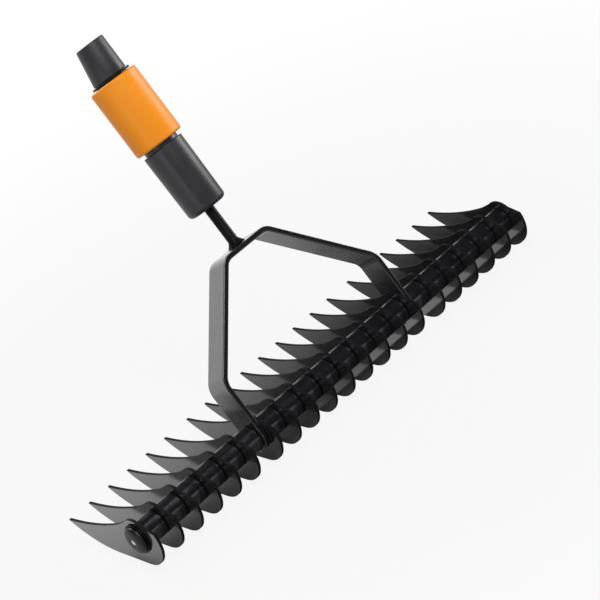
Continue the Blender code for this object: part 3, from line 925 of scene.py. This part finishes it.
    def build_ring(self) -> None:
        """Makes the retaining ring over the sleeve."""
        bore = self.core_r - self.ring_seat + self.seat_gap
        low = self.groove_base + self.seat_gap
        high = low + self.ring_t
        corners = [(bore, low), (self.ring_r, low), (self.ring_r, high), (bore, high)]
        profile = rounded(corners, {1: self.ring_fillet, 2: self.ring_fillet}, self.ring_fillet_steps)
        mesh = turned("retaining_ring", metres(profile), self.ring_segments)
        add_piece("retaining_ring", mesh, handle_place(), Body.HANDLE, BLACK_ZINC)

    def build_spring(self) -> None:
        """Winds the return spring between the core's flange and the sleeve's step, which presses it."""
        low = self.sleeve_base + self.flange_up + self.flange_t + self.seat_gap + self.spring_wire_r
        high = self.sleeve_base + self.sleeve_l - self.sleeve_collar_l - self.seat_gap - self.spring_wire_r
        radius = (self.core_r + self.sleeve_r - self.sleeve_wall) / 2
        count = self.spring_turns * self.spring_steps
        work = bmesh.new()
        rings = []
        for index in range(count + 1):
            angle = 2 * math.pi * index / self.spring_steps
            out = Vector((math.cos(angle), math.sin(angle), 0.0))
            centre = out * radius + UP * (low + (high - low) * index / count)
            wire = circle(self.spring_wire_r, self.wire_sides)
            rings.append([work.verts.new((centre + out * a + UP * b) * MM) for a, b in wire])
        for first, second in zip(rings, rings[1:]):
            for side in range(self.wire_sides):
                after = (side + 1) % self.wire_sides
                work.faces.new((first[side], first[after], second[after], second[side]))
        work.faces.new(rings[0])
        work.faces.new(rings[-1])
        place = handle_place()
        mesh = mesh_from("sleeve_spring", work)
        spring = add_piece("sleeve_spring", mesh, place, Body.HANDLE, ZINC_PLATE)
        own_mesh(spring)

    def build_pawl(self) -> None:
        """Makes the lock pawl with its ramped nose."""
        front = self.pawl_front
        back = front - self.pawl_depth
        base = self.groove_top + self.pawl_up
        top = base + self.pawl_h
        outline = [(back, base), (front, base), (front, top - self.pawl_ramp), (front - self.pawl_ramp, top),
                   (back, top)]
        mesh = stamped("lock_pawl", metres(outline), [], self.pawl_w * MM)
        pawl = add_piece("lock_pawl", mesh, handle_place(), Body.PAWL, ZINC_PLATE)
        ease_edges(pawl, self.pawl_ease * MM)

    def window(self) -> Mesh:
        """Makes the tool for the pawl's window in the spigot."""
        base = self.groove_top + self.pawl_up - self.seat_gap
        top = base + self.pawl_h + 2 * self.seat_gap
        floor = self.pawl_front - self.pawl_depth - self.pawl_travel - self.seat_gap
        mouth = 2 * self.core_r
        outline = metres([(floor, base), (mouth, base), (mouth, top), (floor, top)])
        return stamped("window", outline, [], (self.pawl_w + 2 * self.seat_gap) * MM)

    def build(self) -> None:
        """Makes the whole socket."""
        self.build_body()
        self.build_spigot()
        self.build_sleeve()
        self.build_ring()
        self.build_spring()
        self.build_pawl()


@dataclass(frozen=True)
class SoftBox:
    """One area lamp, placed by the direction that it shines from."""

    name: str
    azimuth: float
    elevation: float
    width: float
    level: float
    distance: float = 1.4
    target: Triple = (0.0, 0.0, 0.05)

    def build(self) -> None:
        """Hangs the lamp; at level 1 a white face at the target that looks at it renders white."""
        lamp = bpy.data.lights.new(self.name, "AREA")
        lamp.shape = "SQUARE"
        lamp.size = self.width
        lamp.energy = self.level * (math.pi * self.distance) ** 2
        holder = set_out(self.name, lamp)
        turn, tilt = math.radians(self.azimuth), math.radians(self.elevation)
        way = Vector((math.cos(turn) * math.cos(tilt), math.sin(turn) * math.cos(tilt), math.sin(tilt)))
        holder.location = Vector(self.target) + way * self.distance
        holder.rotation_euler = way.to_track_quat("Z", "Y").to_euler()
        holder.visible_camera = False


@dataclass
class Studio:
    """Camera, floor, surroundings and lamps."""

    azimuth: float = 325.968
    elevation: float = 29.015
    roll: float = 22.224
    distance: float = 1.61087
    target: Triple = (0.020718, -0.018295, 0.053570)
    focal_px: float = 2517.4
    floor_half: float = 15.0
    paper: str = "#b4b4b4"
    # Painted shade: mirror rays see the floor's paper in this darker grey.
    mirrored_paper_painted_shade: str = "#848484"
    white: str = "#ffffff"
    # Places where the floor turns white, in metres.
    seen_white: Step = Step(0.2, 0.6, low=0.88)
    mirrored_white: Step = Step(0.6, 1.2)
    # Painted light: the way and the step along which the floor turns white to mirror rays.
    painted_light_way: Triple = (-0.5, 0.866, 0.0)
    painted_light_side: Step = Step(-0.06, 0.15)
    # Edges of the painted shadow of the gang, across and along the axle, for mirror rays.
    out_of_painted_shadow_y: Step = Step(-0.065, -0.02)
    out_of_painted_shadow_x: Step = Step(-0.165, -0.185)
    # Place, width and length of a painted strip of light on the floor under the axle, for mirror rays.
    painted_light_strip_y: float = -0.0425
    painted_light_strip_width: Step = Step(0.0055, 0.004, high=0.85)
    painted_light_strip_length: Step = Step(-0.06, 0.06)
    horizon: Step = Step(0.12, 0.28, low=1.0, high=0.03)
    lamps: tuple[SoftBox, ...] = (
        SoftBox("key_softbox", azimuth=-104.0, elevation=64.0, width=1.0, level=0.78),
        SoftBox("near_softbox", azimuth=-152.0, elevation=27.0, width=0.3, level=0.15, distance=0.75,
                target=(-0.18, 0.0, 0.05)),
        SoftBox("front_softbox", azimuth=92.0, elevation=38.0, width=0.62, level=0.5),
        SoftBox("side_softbox", azimuth=-12.0, elevation=16.0, width=0.5, level=0.46))

    def build_camera(self) -> None:
        """Sets the camera as the photograph's: above and to the left of the head, rolled to the right."""
        turn, tilt, roll = (math.radians(angle) for angle in (self.azimuth, self.elevation, self.roll))
        ahead = Vector((-math.sin(turn) * math.cos(tilt), math.cos(turn) * math.cos(tilt), -math.sin(tilt)))
        level_right = ahead.cross(UP).normalized()
        level_up = level_right.cross(ahead)
        right = level_right * math.cos(roll) - level_up * math.sin(roll)
        up = level_up * math.cos(roll) + level_right * math.sin(roll)
        camera = set_out("camera", bpy.data.cameras.new("camera"))
        camera.data.sensor_width = SENSOR_MM
        camera.data.lens = self.focal_px * SENSOR_MM / PHOTO_WIDTH
        turned_axes = Matrix((right, up, -ahead)).transposed().to_4x4()
        camera.matrix_world = Matrix.Translation(Vector(self.target) - ahead * self.distance) @ turned_axes
        bpy.context.scene.camera = camera
        bpy.context.scene.view_settings.view_transform = "Standard"

    def painted_mirror_share(self, tree: Tree, place: bpy.types.NodeSocket) -> bpy.types.NodeSocket:
        """Gives how white the floor near the head is to mirror rays.

        Painted light and shade: a painted shadow of the gang lies under it, and painted light makes the floor
        bright on the side of the claws and past the near end, and in a painted strip between the feet of the
        far blades.

        Args:
            tree: The floor's node tree.
            place: Socket with the place on the floor.

        Returns:
            The socket with the white share.
        """
        parts = add_node(tree, "SeparateXYZ", {}, {0: place})
        x, y = parts.outputs["X"], parts.outputs["Y"]
        along = add_node(tree, "VectorMath", {"operation": "DOT_PRODUCT", 1: self.painted_light_way}, {0: place})
        off = add_node(tree, "Math", {"operation": "SUBTRACT", 1: self.painted_light_strip_y}, {0: y})
        off = add_node(tree, "Math", {"operation": "ABSOLUTE"}, {0: off.outputs[0]})
        steps = ((self.out_of_painted_shadow_y, y), (self.out_of_painted_shadow_x, x), (self.painted_light_side, along.outputs["Value"]),
                 (self.painted_light_strip_width, off.outputs[0]), (self.painted_light_strip_length, x))
        out_of_painted_shadow_y, out_of_painted_shadow_x, side, width, length = (
            add_node(tree, "MapRange", step.settings, {"Value": value}).outputs[0] for step, value in steps)
        # Outside the painted shadow of the gang.
        clear = add_node(tree, "Math", {"operation": "MAXIMUM"}, {0: out_of_painted_shadow_y, 1: out_of_painted_shadow_x})
        # Painted light toward the claws and the near end, outside the painted shadow.
        bright = add_node(tree, "Math", {"operation": "MULTIPLY"}, {0: side, 1: clear.outputs[0]})
        # The painted strip of light under the far blades.
        strip = add_node(tree, "Math", {"operation": "MULTIPLY"}, {0: width, 1: length})
        share = add_node(tree, "Math", {"operation": "MAXIMUM"}, {0: bright.outputs[0], 1: strip.outputs[0]})
        return share.outputs[0]

    def floor_material(self) -> bpy.types.Material:
        """Makes the floor's material: paper near the head and plain white further off, by kind of ray; mirror
        rays see a darker paper, a painted shade, with painted light and shadow near the head.
        """
        material = bpy.data.materials.new("white_studio_floor")
        material.use_nodes = True
        tree = material.node_tree
        tree.nodes.clear()
        path = add_node(tree, "LightPath")
        mirror = add_node(tree, "Math", {"operation": "MAXIMUM"},
                          {0: path.outputs["Is Glossy Ray"], 1: path.outputs["Is Transmission Ray"]})
        place = add_node(tree, "TexCoord").outputs["Object"]
        reach = add_node(tree, "VectorMath", {"operation": "LENGTH"}, {0: place}).outputs["Value"]
        seen, light = (add_node(tree, "MapRange", step.settings, {"Value": reach}).outputs[0]
                       for step in (self.seen_white, self.mirrored_white))
        seen = add_node(tree, "Math", {"operation": "MULTIPLY"}, {0: seen, 1: path.outputs["Is Camera Ray"]})
        # Mirror rays take the painted light and painted shadow near the head.
        light = add_node(tree, "Math", {"operation": "MAXIMUM"}, {0: light, 1: self.painted_mirror_share(tree, place)})
        mirrored = add_node(tree, "Math", {"operation": "MULTIPLY"},
                            {0: light.outputs[0], 1: mirror.outputs[0]})
        share = add_node(tree, "Math", {"operation": "ADD"}, {0: seen.outputs[0], 1: mirrored.outputs[0]})
        # Mirror rays take the darker paper, a painted shade.
        papers = {6: linear(self.paper), 7: linear(self.mirrored_paper_painted_shade)}
        tone = add_node(tree, "Mix", {"data_type": "RGBA", **papers}, {"Factor": mirror.outputs[0]})
        paper = add_node(tree, "BsdfDiffuse", {}, {"Color": tone.outputs[2]})
        white = add_node(tree, "Emission", {"Color": linear(self.white), "Strength": 1.0})
        mixed = add_node(tree, "MixShader", {},
                         {0: share.outputs[0], 1: paper.outputs[0], 2: white.outputs[0]})
        add_node(tree, "OutputMaterial", {}, {"Surface": mixed.outputs[0]})
        return material

    def build_floor(self) -> None:
        """Lays the pale floor, which keeps the head's shadow."""
        work = bmesh.new()
        half = self.floor_half
        corners = [(-half, -half), (half, -half), (half, half), (-half, half)]
        work.faces.new([work.verts.new((x, y, 0.0)) for x, y in corners])
        floor = set_out("floor", mesh_from("floor", work))
        floor.data.materials.append(self.floor_material())

    def build_surroundings(self) -> None:
        """Sets the world: white at the horizon, and a dim room above that keeps black lacquer black."""
        world = bpy.data.worlds.new("studio_surroundings")
        bpy.context.scene.world = world
        world.use_nodes = True
        tree = world.node_tree
        tree.nodes.clear()
        way = add_node(tree, "TexCoord")
        parts = add_node(tree, "SeparateXYZ", {}, {0: way.outputs["Generated"]})
        level = add_node(tree, "MapRange", self.horizon.settings, {"Value": parts.outputs["Z"]})
        light = add_node(tree, "Background", {"Color": linear(self.white)}, {"Strength": level.outputs[0]})
        add_node(tree, "OutputWorld", {}, {"Surface": light.outputs[0]})

    def build(self) -> None:
        """Builds the whole studio."""
        self.build_camera()
        self.build_floor()
        self.build_surroundings()
        for lamp in self.lamps:
            lamp.build()


def main() -> None:
    """Builds the head and its studio."""
    logging.basicConfig(level=logging.INFO, format="%(message)s")
    Studio().build()
    BladeGang().build()
    Fork().build()
    Socket().build()


if __name__ == "__main__":
    main()
